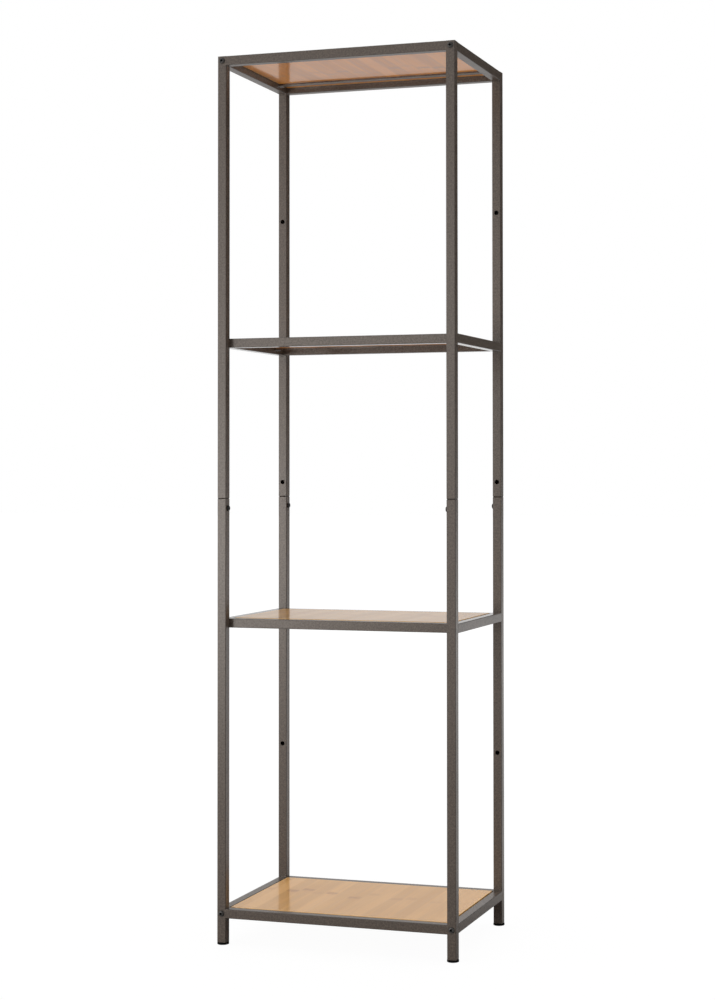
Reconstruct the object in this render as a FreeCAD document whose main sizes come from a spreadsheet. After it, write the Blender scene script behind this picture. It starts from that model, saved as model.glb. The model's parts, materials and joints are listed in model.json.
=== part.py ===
# Pipe shelving unit: two square-tube frames joined by side rails, two loose shelf frames pinned
# between them, four thin wooden boards on flat bars, and a levelling foot under each post.
# Millimetres. X is the width, the front faces -Y, +Z is up, and the floor is Z = 0.
import FreeCAD, Part
import os
import re

import Sketcher
from FreeCAD import Placement, Rotation, Vector

# Driving dimensions: alias, value, meaning.
SIZES = [
    ("overall_width", 450, "across the outer faces of the posts"),
    ("overall_depth", 300, "from the front posts' faces to the rear posts' faces"),
    ("overall_height", 1600, "floor to the top rails"),
    ("tube_size", 16.5, "side of the square tube"),
    ("tube_wall", 1.2, "wall of the square tube"),
    ("tube_round", 1, "outer corner radius of the square tube"),
    ("bottom_level", 64, "top of the bottom rails above the floor"),
    ("joint_level", 800, "height where the two lengths of a post meet"),
    ("joint_bevel", 1, "bevel round the tube ends at that joint"),
    ("hole_rise", 28, "middle shelf hole above the post joint"),
    ("hole_pitch", 253, "spacing of the shelf holes up a post"),
    ("board_thick", 6, "thickness of a shelf board"),
    ("board_rise", 0.6, "board's top above the rails' top"),
    ("board_gap", 0.5, "gap in front of a board and behind it"),
    ("board_side_gap", 2.5, "gap at a board's left and right"),
    ("board_ease", 0.5, "rounded edges of a board"),
    ("bar_width", 15, "support bar, across"),
    ("bar_thick", 3, "support bar, thickness"),
    ("front_bar_inset", 8, "front rail to the bar behind it"),
    ("rear_bar_inset", 27, "rear rail to the bar in front of it"),
    ("tab_length", 7, "seat tab under a bar's end, along the bar"),
    ("tab_thick", 1.5, "seat tab, thickness"),
    ("bolt_size", 6, "shank of every bolt"),
    ("bolt_clear", 0.3, "radial clearance of a bolt in a drilled hole"),
    ("thread_clear", 0.05, "radial clearance of a shank in its thread"),
    ("head_size", 10.5, "button head, diameter"),
    ("head_tall", 3.3, "button head, height"),
    ("head_dome", 2.4, "button head, edge rounding"),
    ("socket_size", 4, "hexagon socket across flats"),
    ("socket_deep", 2, "hexagon socket depth"),
    ("corner_bolt_long", 25, "corner bolt under its head"),
    ("joint_bolt_long", 10, "joint bolt under its head"),
    ("joint_bolt_drop", 17.5, "joint bolt below the post joint"),
    ("plug_gap", 0.1, "gap between a tube's inside and what is pushed into it"),
    ("joiner_wall", 2.5, "wall of the joiner inside a post"),
    ("joiner_up", 20, "joiner above the post joint"),
    ("joiner_down", 35, "joiner below the post joint"),
    ("nut_long", 12, "threaded plug in a side rail's end"),
    ("pin_size", 8, "shelf pin, diameter"),
    ("pin_clear", 0.3, "radial clearance of a shelf pin in a post's hole"),
    ("pin_reach", 8, "shelf pin beyond the shelf frame"),
    ("flange_size", 11, "flange of a shelf pin, diameter"),
    ("flange_thick", 1.5, "flange of a shelf pin, thickness"),
    ("cap_thick", 1.5, "cap let into a post's top"),
    ("foot_size", 21, "levelling foot, diameter"),
    ("foot_tall", 4, "levelling foot, height"),
    ("foot_round", 0.8, "levelling foot, rounded rims"),
    ("stud_size", 8, "stud of a levelling foot, diameter"),
    ("stud_seat", 2.5, "stud inside the foot"),
    ("stud_long", 22, "stud above the foot"),
    ("insert_long", 16, "threaded insert in a post's bottom"),
    ("cut_margin", 1, "how far a cutting outline runs past the tube that it cuts"),
]
ALIASES = {alias for alias, _, _ in SIZES}

# Places worked out from the sheet.
POST_X = "(overall_width - tube_size) / 2"
POST_Y = "(overall_depth - tube_size) / 2"
INNER_X = "(overall_width / 2 - tube_size)"
INNER_Y = "(overall_depth / 2 - tube_size)"
MIDDLE_HOLE = "(joint_level + hole_rise)"
SHELF_TOPS = {
    "bottom": "bottom_level",
    "lower": f"({MIDDLE_HOLE} - hole_pitch + tube_size / 2)",
    "upper": f"({MIDDLE_HOLE} + hole_pitch + tube_size / 2)",
    "top": "overall_height",
}
LOOSE_SHELVES = ("lower", "upper")
FIXED_SHELVES = ("bottom", "top")
PLUG = "(tube_size - 2 * tube_wall - 2 * plug_gap)"
DRILLED = "(bolt_size + 2 * bolt_clear)"
TAPPED = "(bolt_size + 2 * thread_clear)"
BOTTOM_BOLT = "(bottom_level - tube_size / 2)"
TOP_BOLT = "(overall_height - tube_size / 2)"
JOINT_BOLT = "(joint_level - joint_bolt_drop)"
SIDES = {"left": -1, "right": 1}
FACES = {"front": -1, "rear": 1}
AXES = {"YZ_Plane": Vector(1, 0, 0), "XZ_Plane": Vector(0, 1, 0), "XY_Plane": Vector(0, 0, 1)}

doc = FreeCAD.newDocument("pipe_shelving_unit")
sheet = doc.addObject("Spreadsheet::Sheet", "Sizes")
for row, (alias, value, meaning) in enumerate(SIZES, start=1):
    sheet.set(f"A{row}", alias)
    sheet.set(f"B{row}", str(value))
    sheet.setAlias(f"B{row}", alias)
    sheet.set(f"C{row}", meaning)
doc.recompute()

nodes = []


def bind(target, path, formula):
    """Bind one property of an object to a formula written with the sheet's aliases."""
    text = re.sub(r"[a-z_]+", lambda word: cell(word.group()), formula)
    target.setExpression(path, text)


def cell(word):
    """Return the sheet's cell for an alias, and any other word as it is."""
    return f"Sizes.{word}" if word in ALIASES else word


def place(item, x="0", y="0", z="0", turn=None):
    """Put an object at a place given by formulas, turned by a fixed rotation."""
    item.Placement = Placement(Vector(), turn or Rotation())
    for letter, formula in zip("xyz", (x, y, z)):
        bind(item, f"Placement.Base.{letter}", formula)


def keep(item):
    """List an object as a sub-part to write out."""
    nodes.append(item)
    return item


def new_body(label):
    """Start a PartDesign body with its own label."""
    body = doc.addObject("PartDesign::Body", label)
    body.Label = label
    return body


def origin_feature(body, role):
    """Return a plane or axis of a body's own origin."""
    return next(item for item in body.Origin.OriginFeatures if item.Role == role)


def new_sketch(body, plane, name, lift=None):
    """Start a sketch on one of a body's origin planes, lifted off it where needed."""
    sketch = body.newObject("Sketcher::SketchObject", name)
    sketch.AttachmentSupport = (origin_feature(body, plane), [""])
    sketch.MapMode = "FlatFace"
    if lift:
        bind(sketch, "AttachmentOffset.Base.z", lift)
    return sketch


def fix_point(sketch, geometry, vertex, place_on_plane):
    """Tie one sketch point to its two formulas, or to an axis where a formula is zero."""
    for kind, axis, formula in zip(("DistanceX", "DistanceY"), (-2, -1), place_on_plane):
        if formula == "0":
            sketch.addConstraint(Sketcher.Constraint("PointOnObject", geometry, vertex, axis))
            continue
        rule = sketch.addConstraint(Sketcher.Constraint(kind, -1, 1, geometry, vertex, 1.0))
        bind(sketch, f"Constraints[{rule}]", formula)


def outline(body, plane, name, shapes, lift=None):
    """Draw closed straight-sided shapes, each a list of points given as formula pairs."""
    sketch = new_sketch(body, plane, name, lift)
    for points in shapes:
        first = sketch.GeometryCount
        spots = [Rotation(Vector(0, 0, 1), 360 * step / len(points)).multVec(Vector(1, 0, 0))
                 for step in range(len(points))]
        for start, end in zip(spots, spots[1:] + spots[:1]):
            sketch.addGeometry(Part.LineSegment(start, end))
        for step, point in enumerate(points):
            before = first + (step - 1) % len(points)
            sketch.addConstraint(Sketcher.Constraint("Coincident", before, 2, first + step, 1))
            fix_point(sketch, first + step, 1, point)
    return sketch


def rectangle(body, plane, name, across, along, lift=None):
    """Draw a rectangle centred on the plane's origin."""
    points = [(f"{a} * ({across}) / 2", f"{b} * ({along}) / 2")
              for a, b in ((-1, -1), (1, -1), (1, 1), (-1, 1))]
    return outline(body, plane, name, [points], lift)


def circles(body, plane, name, diameter, centres, lift=None):
    """Draw equal circles, each centre a pair of formulas."""
    sketch = new_sketch(body, plane, name, lift)
    for centre in centres:
        ring = sketch.addGeometry(Part.Circle(Vector(1, 1, 0), Vector(0, 0, 1), 1.0))
        rule = sketch.addConstraint(Sketcher.Constraint("Diameter", ring, 2.0))
        bind(sketch, f"Constraints[{rule}]", diameter)
        fix_point(sketch, ring, 3, centre)
    return sketch


def pad(body, sketch, length, both_ways=False, reverse=False):
    """Add material over a sketch."""
    feature = body.newObject("PartDesign::Pad", "Pad")
    feature.Profile = sketch
    feature.SideType = "Symmetric" if both_ways else "One side"
    feature.Reversed = reverse
    bind(feature, "Length", length)
    doc.recompute()
    return feature


def pocket(body, sketch, length, both_ways=False, reverse=False):
    """Remove material under a sketch, and make sure that some was removed."""
    before = body.Shape.Volume
    feature = body.newObject("PartDesign::Pocket", "Pocket")
    feature.Profile = sketch
    feature.SideType = "Symmetric" if both_ways else "One side"
    feature.Reversed = reverse
    bind(feature, "Length", length)
    doc.recompute()
    if not body.Shape.Volume < before:
        raise RuntimeError(f"{body.Label}: {sketch.Label} removes nothing")
    return feature


def soften(body, kind, size, chosen):
    """Fillet or chamfer the edges of the body's tip that a test picks."""
    tip = body.Tip
    names = [f"Edge{number}" for number, edge in enumerate(tip.Shape.Edges, start=1) if chosen(edge)]
    feature = body.newObject(f"PartDesign::{kind}", kind)
    feature.Base = (tip, names)
    bind(feature, "Radius" if kind == "Fillet" else "Size", size)
    doc.recompute()
    return feature


def runs_along(direction):
    """Return a test for straight edges parallel to a direction."""
    def test(edge):
        straight = isinstance(edge.Curve, Part.Line)
        return straight and edge.tangentAt(edge.FirstParameter).cross(direction).Length < 1e-6
    return test


def at_end(body, direction):
    """Return a test for the edges round the end face of the body's tip that looks along a direction."""
    reach = max(vertex.Point.dot(direction) for vertex in body.Tip.Shape.Vertexes)

    def test(edge):
        return all(abs(vertex.Point.dot(direction) - reach) < 1e-6 for vertex in edge.Vertexes)
    return test


def square_bar(label, plane, length, size="tube_size", lift=None):
    """Make a square bar across a plane: centred on it, or standing on it where it is lifted."""
    body = new_body(label)
    section = rectangle(body, plane, "Section", size, size, lift)
    pad(body, section, length, both_ways=lift is None)
    return body


def hollow(body, plane, length, size, lift=None):
    """Bore a square hole right through a bar that was made by square_bar."""
    section = rectangle(body, plane, "Bore", size, size, lift)
    pocket(body, section, f"{length} + 2 * cut_margin", both_ways=lift is None, reverse=lift is not None)


def tube(label, plane, length, lift=None, bevelled_end=None):
    """Make a square tube with rounded corners and, where asked, a bevelled end."""
    body = square_bar(label, plane, length, lift=lift)
    soften(body, "Fillet", "tube_round", runs_along(AXES[plane]))
    if bevelled_end:
        soften(body, "Chamfer", "joint_bevel", at_end(body, AXES[plane] * bevelled_end))
    hollow(body, plane, length, "tube_size - 2 * tube_wall", lift)
    return body


def drill_faces(body, diameter, height):
    """Drill a post from front to back at one height."""
    sketch = circles(body, "XZ_Plane", "BoltHole", diameter, [("0", height)])
    pocket(body, sketch, "tube_size + 2 * cut_margin", both_ways=True)


def drill_side(body, diameter, height, side):
    """Drill the one wall of a post, or of its joiner, that faces the middle of the unit."""
    sketch = circles(body, "YZ_Plane", "JointBoltHole", diameter, [("0", height)])
    pocket(body, sketch, "tube_size / 2 + cut_margin", reverse=side < 0)


def drill_shelf_holes(body, lowest, count, face):
    """Drill a row of shelf holes in the wall of a post that faces the other frame."""
    sketch = circles(body, "XZ_Plane", "ShelfHole", "pin_size + 2 * pin_clear", [("0", lowest)])
    hole = pocket(body, sketch, "tube_size / 2 + cut_margin", reverse=face > 0)
    row = body.newObject("PartDesign::LinearPattern", "ShelfHoles")
    row.Originals = [hole]
    row.Direction = (origin_feature(body, "Z_Axis"), [""])
    row.Mode = "Spacing"
    row.Occurrences = count
    bind(row, "Offset", "hole_pitch")
    body.Tip = row
    doc.recompute()


def mitre(body, length, inward):
    """Cut both ends of a rail along X or Y at 45 degrees, shorter on the side it turns to."""
    half = f"({length}) / 2"
    low = "tube_size / 2 + cut_margin"
    shapes = []
    for end in ("1", "-1"):
        tips = [(f"{end} * ({half} + cut_margin)", f"-({low})"),
                (f"{end} * ({half} - tube_size - cut_margin)", low),
                (f"{end} * ({half} + cut_margin)", low)]
        shapes.append([(b, a) for a, b in tips] if inward == "x" else tips)
    cut = outline(body, "XY_Plane", "Mitres", shapes)
    pocket(body, cut, "tube_size + 2 * cut_margin", both_ways=True)


def copies(label, piece, places):
    """Group identical pieces: one linked copy of the piece at each place."""
    links = []
    for number, (x, y, z, turn) in enumerate(places, start=1):
        link = doc.addObject("App::Link", f"{label}_{number}")
        link.LinkedObject = piece
        place(link, x, y, z, turn)
        links.append(link)
    group = doc.addObject("Part::Compound", label)
    group.Label = label
    group.Links = links
    return keep(group)


def signed(sign, formula):
    """Put a formula on the plus or the minus side."""
    return f"{sign} * ({formula})"


def corners():
    """Yield the four corners of the unit as names and signs."""
    for face, y_sign in FACES.items():
        for side, x_sign in SIDES.items():
            yield f"{face}_{side}", x_sign, y_sign


# ---------------------------------------------------------------- posts

def make_posts():
    """Make the lower and upper length of each post and the joiner inside them."""
    for corner, x_sign, y_sign in corners():
        spot = (signed(x_sign, POST_X), signed(y_sign, POST_Y))

        lower = tube(f"post_{corner}_lower", "XY_Plane", "joint_level - foot_tall",
                     lift="foot_tall", bevelled_end=1)
        drill_faces(lower, DRILLED, BOTTOM_BOLT)
        drill_side(lower, DRILLED, JOINT_BOLT, x_sign)
        drill_shelf_holes(lower, f"{MIDDLE_HOLE} - 2 * hole_pitch", 2, y_sign)
        place(keep(lower), *spot)

        upper = tube(f"post_{corner}_upper", "XY_Plane", "overall_height - joint_level",
                     lift="joint_level", bevelled_end=-1)
        drill_faces(upper, DRILLED, TOP_BOLT)
        drill_shelf_holes(upper, MIDDLE_HOLE, 3, y_sign)
        place(keep(upper), *spot)

        foot = "joint_level - joiner_down"
        tall = "joiner_up + joiner_down"
        joiner = square_bar(f"post_{corner}_joiner", "XY_Plane", tall, PLUG, lift=foot)
        hollow(joiner, "XY_Plane", tall, f"{PLUG} - 2 * joiner_wall", lift=foot)
        drill_side(joiner, TAPPED, JOINT_BOLT, x_sign)
        place(keep(joiner), *spot)


# ---------------------------------------------------------------- rails and shelf frames

def make_fixed_rails():
    """Make the rails between the posts at the bottom and the top."""
    for shelf in FIXED_SHELVES:
        level = f"{SHELF_TOPS[shelf]} - tube_size / 2"
        for face, sign in FACES.items():
            rail = tube(f"rail_{shelf}_{face}", "YZ_Plane", f"2 * {INNER_X}")
            place(keep(rail), "0", signed(sign, POST_Y), level)
        for side, sign in SIDES.items():
            rail = tube(f"rail_{shelf}_{side}", "XZ_Plane", f"2 * {INNER_Y}")
            place(keep(rail), signed(sign, POST_X), "0", level)


def make_loose_frames():
    """Make the two mitred shelf frames that stand between the front and the rear posts."""
    half_turn = Rotation(Vector(0, 0, 1), 180)
    for shelf in LOOSE_SHELVES:
        level = f"{SHELF_TOPS[shelf]} - tube_size / 2"
        for face, sign in FACES.items():
            rail = tube(f"frame_{shelf}_{face}", "YZ_Plane", "overall_width")
            mitre(rail, "overall_width", "y")
            seats = circles(rail, "XZ_Plane", "PinHoles", "pin_size",
                            [(signed(x_sign, POST_X), "0") for x_sign in SIDES.values()])
            pocket(rail, seats, "tube_size / 2 + cut_margin", reverse=True)
            place(keep(rail), "0", signed(sign, f"{INNER_Y} - tube_size / 2"), level,
                  half_turn if sign > 0 else None)
        for side, sign in SIDES.items():
            rail = tube(f"frame_{shelf}_{side}", "XZ_Plane", f"2 * {INNER_Y}")
            mitre(rail, f"2 * {INNER_Y}", "x")
            place(keep(rail), signed(sign, POST_X), "0", level, half_turn if sign > 0 else None)


# ---------------------------------------------------------------- boards and their bars

def make_boards():
    """Make the four boards, the two flat bars under each and the tabs at the bars' ends."""
    tab = doc.addObject("Part::Box", "seat_tab")
    bind(tab, "Length", "tab_length")
    bind(tab, "Width", "bar_width")
    bind(tab, "Height", "tab_thick")
    tab_places = []
    for shelf, top in SHELF_TOPS.items():
        back = INNER_Y if shelf in FIXED_SHELVES else f"({INNER_Y} - tube_size)"
        board = new_body(f"board_{shelf}")
        sheet_outline = rectangle(board, "XY_Plane", "Outline", f"2 * {INNER_X} - 2 * board_side_gap",
                                  f"2 * {back} - 2 * board_gap")
        pad(board, sheet_outline, "board_thick")
        soften(board, "Fillet", "board_ease", lambda edge: True)
        place(keep(board), z=f"{top} + board_rise - board_thick")

        bar_z = f"{top} + board_rise - board_thick - bar_thick"
        for face, sign in FACES.items():
            bar = doc.addObject("Part::Box", f"bar_{shelf}_{face}")
            bar.Label = f"bar_{shelf}_{face}"
            bind(bar, "Length", f"2 * {INNER_X}")
            bind(bar, "Width", "bar_width")
            bind(bar, "Height", "bar_thick")
            middle = signed(sign, f"{back} - {face}_bar_inset - bar_width / 2")
            place(keep(bar), f"-{INNER_X}", f"{middle} - bar_width / 2", bar_z)
            for side_sign in SIDES.values():
                tab_x = signed(side_sign, f"{INNER_X} - tab_length / 2")
                tab_places.append((f"{tab_x} - tab_length / 2", f"{middle} - bar_width / 2",
                                   f"{bar_z} - tab_thick", None))
    copies("bar_tabs", tab, tab_places)


# ---------------------------------------------------------------- fasteners

def button_bolt(label, length):
    """Make a button-head bolt: head above the XY plane, shank below it."""
    body = new_body(label)
    pad(body, circles(body, "XY_Plane", "Head", "head_size", [("0", "0")]), "head_tall")
    soften(body, "Fillet", "head_dome", at_end(body, AXES["XY_Plane"]))
    flat = "socket_size / 2"
    point = "socket_size / sqrt(3)"
    hexagon = [(point, "0"), (f"{point} / 2", flat), (f"-{point} / 2", flat),
               (f"-{point}", "0"), (f"-{point} / 2", f"-{flat}"), (f"{point} / 2", f"-{flat}")]
    pocket(body, outline(body, "XY_Plane", "Socket", [hexagon], lift="head_tall"), "socket_deep")
    pad(body, circles(body, "XY_Plane", "Shank", "bolt_size", [("0", "0")]), length, reverse=True)
    return body


def make_fasteners():
    """Make the corner bolts and their plugs, the joint bolts and the shelf pins."""
    forward = {-1: Rotation(Vector(1, 0, 0), 90), 1: Rotation(Vector(1, 0, 0), -90)}
    inward = {-1: Rotation(Vector(0, 1, 0), 90), 1: Rotation(Vector(0, 1, 0), -90)}

    corner_bolt = button_bolt("corner_bolt", "corner_bolt_long")
    joint_bolt = button_bolt("joint_bolt", "joint_bolt_long")

    nut = new_body("rail_nut")
    pad(nut, rectangle(nut, "XY_Plane", "Block", PLUG, PLUG), "nut_long", reverse=True)
    pocket(nut, circles(nut, "XY_Plane", "Thread", TAPPED, [("0", "0")]), "nut_long + cut_margin")

    pin = new_body("shelf_pin")
    shank = circles(pin, "XY_Plane", "Shank", "pin_size", [("0", "0")], lift="-tube_wall")
    pad(pin, shank, "tube_wall + pin_reach")
    flange = circles(pin, "XY_Plane", "Flange", "flange_size", [("0", "0")], lift="-tube_wall")
    pad(pin, flange, "flange_thick", reverse=True)

    bolt_places = []
    nut_places = []
    joint_places = []
    pin_places = []
    for _, x_sign, y_sign in corners():
        x = signed(x_sign, POST_X)
        for level in (BOTTOM_BOLT, TOP_BOLT):
            bolt_places.append((x, signed(y_sign, "overall_depth / 2"), level, forward[y_sign]))
            nut_places.append((x, signed(y_sign, INNER_Y), level, forward[y_sign]))
        for shelf in LOOSE_SHELVES:
            level = f"{SHELF_TOPS[shelf]} - tube_size / 2"
            pin_places.append((x, signed(y_sign, INNER_Y), level, forward[y_sign]))
        joint_places.append((signed(x_sign, INNER_X), signed(y_sign, POST_Y), JOINT_BOLT,
                             inward[x_sign]))
    copies("corner_bolts", corner_bolt, bolt_places)
    copies("rail_nuts", nut, nut_places)
    copies("joint_bolts", joint_bolt, joint_places)
    copies("shelf_pins", pin, pin_places)


# ---------------------------------------------------------------- post ends and levelling feet

def make_post_ends():
    """Make the caps in the posts' tops and the threaded inserts in their bottoms."""
    cap = doc.addObject("Part::Box", "post_cap")
    for size, formula in (("Length", PLUG), ("Width", PLUG), ("Height", "cap_thick")):
        bind(cap, size, formula)

    insert = new_body("foot_insert")
    pad(insert, rectangle(insert, "XY_Plane", "Block", PLUG, PLUG), "insert_long")
    thread = circles(insert, "XY_Plane", "Thread", "stud_size + 2 * thread_clear", [("0", "0")])
    pocket(insert, thread, "insert_long + cut_margin", reverse=True)

    cap_places = []
    insert_places = []
    for _, x_sign, y_sign in corners():
        x = signed(x_sign, POST_X)
        y = signed(y_sign, POST_Y)
        cap_places.append((f"{x} - {PLUG} / 2", f"{y} - {PLUG} / 2", "overall_height - cap_thick", None))
        insert_places.append((x, y, "foot_tall", None))
    copies("post_caps", cap, cap_places)
    copies("foot_inserts", insert, insert_places)


def make_feet():
    """Make the four levelling feet, each a round pad on a threaded stud."""
    for corner, x_sign, y_sign in corners():
        spot = (signed(x_sign, POST_X), signed(y_sign, POST_Y))
        foot = new_body(f"foot_{corner}_pad")
        pad(foot, circles(foot, "XY_Plane", "Disc", "foot_size", [("0", "0")]), "foot_tall")
        soften(foot, "Fillet", "foot_round", lambda edge: isinstance(edge.Curve, Part.Circle))
        seat = circles(foot, "XY_Plane", "StudSeat", "stud_size", [("0", "0")], lift="foot_tall")
        pocket(foot, seat, "stud_seat")
        place(keep(foot), *spot)

        stud = doc.addObject("Part::Cylinder", f"foot_{corner}_stud")
        stud.Label = f"foot_{corner}_stud"
        bind(stud, "Radius", "stud_size / 2")
        bind(stud, "Height", "stud_seat + stud_long")
        place(keep(stud), *spot, z="foot_tall - stud_seat")


make_posts()
make_fixed_rails()
make_loose_frames()
make_boards()
make_fasteners()
make_post_ends()
make_feet()
doc.recompute()

for item in doc.Objects:
    if {"Invalid", "Error"} & set(item.State):
        raise RuntimeError(f"{item.Label} failed: {item.State}")
for node in nodes:
    if node.Shape.isNull() or not node.Shape.isValid():
        raise RuntimeError(f"{node.Label} has no valid shape")

os.makedirs("parts", exist_ok=True)
for node in nodes:
    node.Shape.exportStep(os.path.join("parts", f"{node.Label}.step"))
print(f"{len(nodes)} sub-parts written")
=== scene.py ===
"""Looks of the pipe shelving unit: finishes for every part, the small formed pieces and the studio.

Everything is in metres, in the frame of the construction model: X is the width, the front faces -Y
and the floor is Z = 0.
"""
import json
import logging
import math
from dataclasses import dataclass
from enum import Enum
from typing import Callable, Optional, Union

import bmesh
import bpy
from mathutils import Matrix, Vector


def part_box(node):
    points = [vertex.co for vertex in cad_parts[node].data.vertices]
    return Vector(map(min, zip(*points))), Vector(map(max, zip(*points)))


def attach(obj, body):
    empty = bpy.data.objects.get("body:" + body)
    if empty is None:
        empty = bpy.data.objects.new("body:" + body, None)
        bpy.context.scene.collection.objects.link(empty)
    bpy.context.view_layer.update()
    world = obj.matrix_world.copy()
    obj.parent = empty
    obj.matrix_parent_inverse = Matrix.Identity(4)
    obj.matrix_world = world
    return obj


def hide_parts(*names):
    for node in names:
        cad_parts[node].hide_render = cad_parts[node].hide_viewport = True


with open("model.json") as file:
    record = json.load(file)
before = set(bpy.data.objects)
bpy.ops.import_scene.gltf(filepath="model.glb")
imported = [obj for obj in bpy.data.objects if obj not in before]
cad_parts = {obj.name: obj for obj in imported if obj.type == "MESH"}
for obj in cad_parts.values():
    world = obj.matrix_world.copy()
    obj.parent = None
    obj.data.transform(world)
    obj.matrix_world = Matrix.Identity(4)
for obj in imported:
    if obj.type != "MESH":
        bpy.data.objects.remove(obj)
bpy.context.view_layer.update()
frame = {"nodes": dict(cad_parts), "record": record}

log = logging.getLogger("shelving_unit")

Colour = tuple[float, float, float]
Number = Union[float, "Value"]
Span = tuple[float, float]
EdgeTest = Callable[[bmesh.types.BMEdge], bool]
FaceTest = Callable[[bmesh.types.BMFace], bool]

WHITE: Colour = (1.0, 1.0, 1.0)
# Most of a noise lies between these two numbers.
NOISE_SPAN: Span = (0.3, 0.7)
# Index of refraction of lacquer and of powder coat.
COAT_IOR = 1.5
# Points closer together than this, in metres, count as one.
TOUCH = 1e-6
# Faces that meet at less than this angle, in degrees, are shaded as one surface.
SMOOTH_ANGLE = 35


# ------------------------------------------------------------------ shader building

class Value:
    """A socket that carries one number, with the operators of shader maths."""

    def __init__(self, shade: "Shade", socket: bpy.types.NodeSocket) -> None:
        """Wrap a number socket of a material's node tree."""
        self.shade = shade
        self.socket = socket

    def _math(self, operation: str, *numbers: Number) -> "Value":
        """Return a Math node's result."""
        return self.shade.math(operation, *numbers)

    def __add__(self, other: Number) -> "Value":
        """Return the sum."""
        return self._math("ADD", self, other)

    def __radd__(self, other: Number) -> "Value":
        """Return the sum."""
        return self._math("ADD", other, self)

    def __sub__(self, other: Number) -> "Value":
        """Return the difference."""
        return self._math("SUBTRACT", self, other)

    def __rsub__(self, other: Number) -> "Value":
        """Return the difference, the other way round."""
        return self._math("SUBTRACT", other, self)

    def __mul__(self, other: Number) -> "Value":
        """Return the product."""
        return self._math("MULTIPLY", self, other)

    def __truediv__(self, other: Number) -> "Value":
        """Return the quotient."""
        return self._math("DIVIDE", self, other)

    def __abs__(self) -> "Value":
        """Return the size of the number."""
        return self._math("ABSOLUTE", self)


Input = Union[float, Colour, tuple, Value, bpy.types.NodeSocket]
Place = tuple[Value, Value, Value]


@dataclass(frozen=True)
class Noise:
    """How fine, how detailed and how rough a noise is."""

    scale: float
    detail: float = 2.0
    rough: float = 0.5


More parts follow.
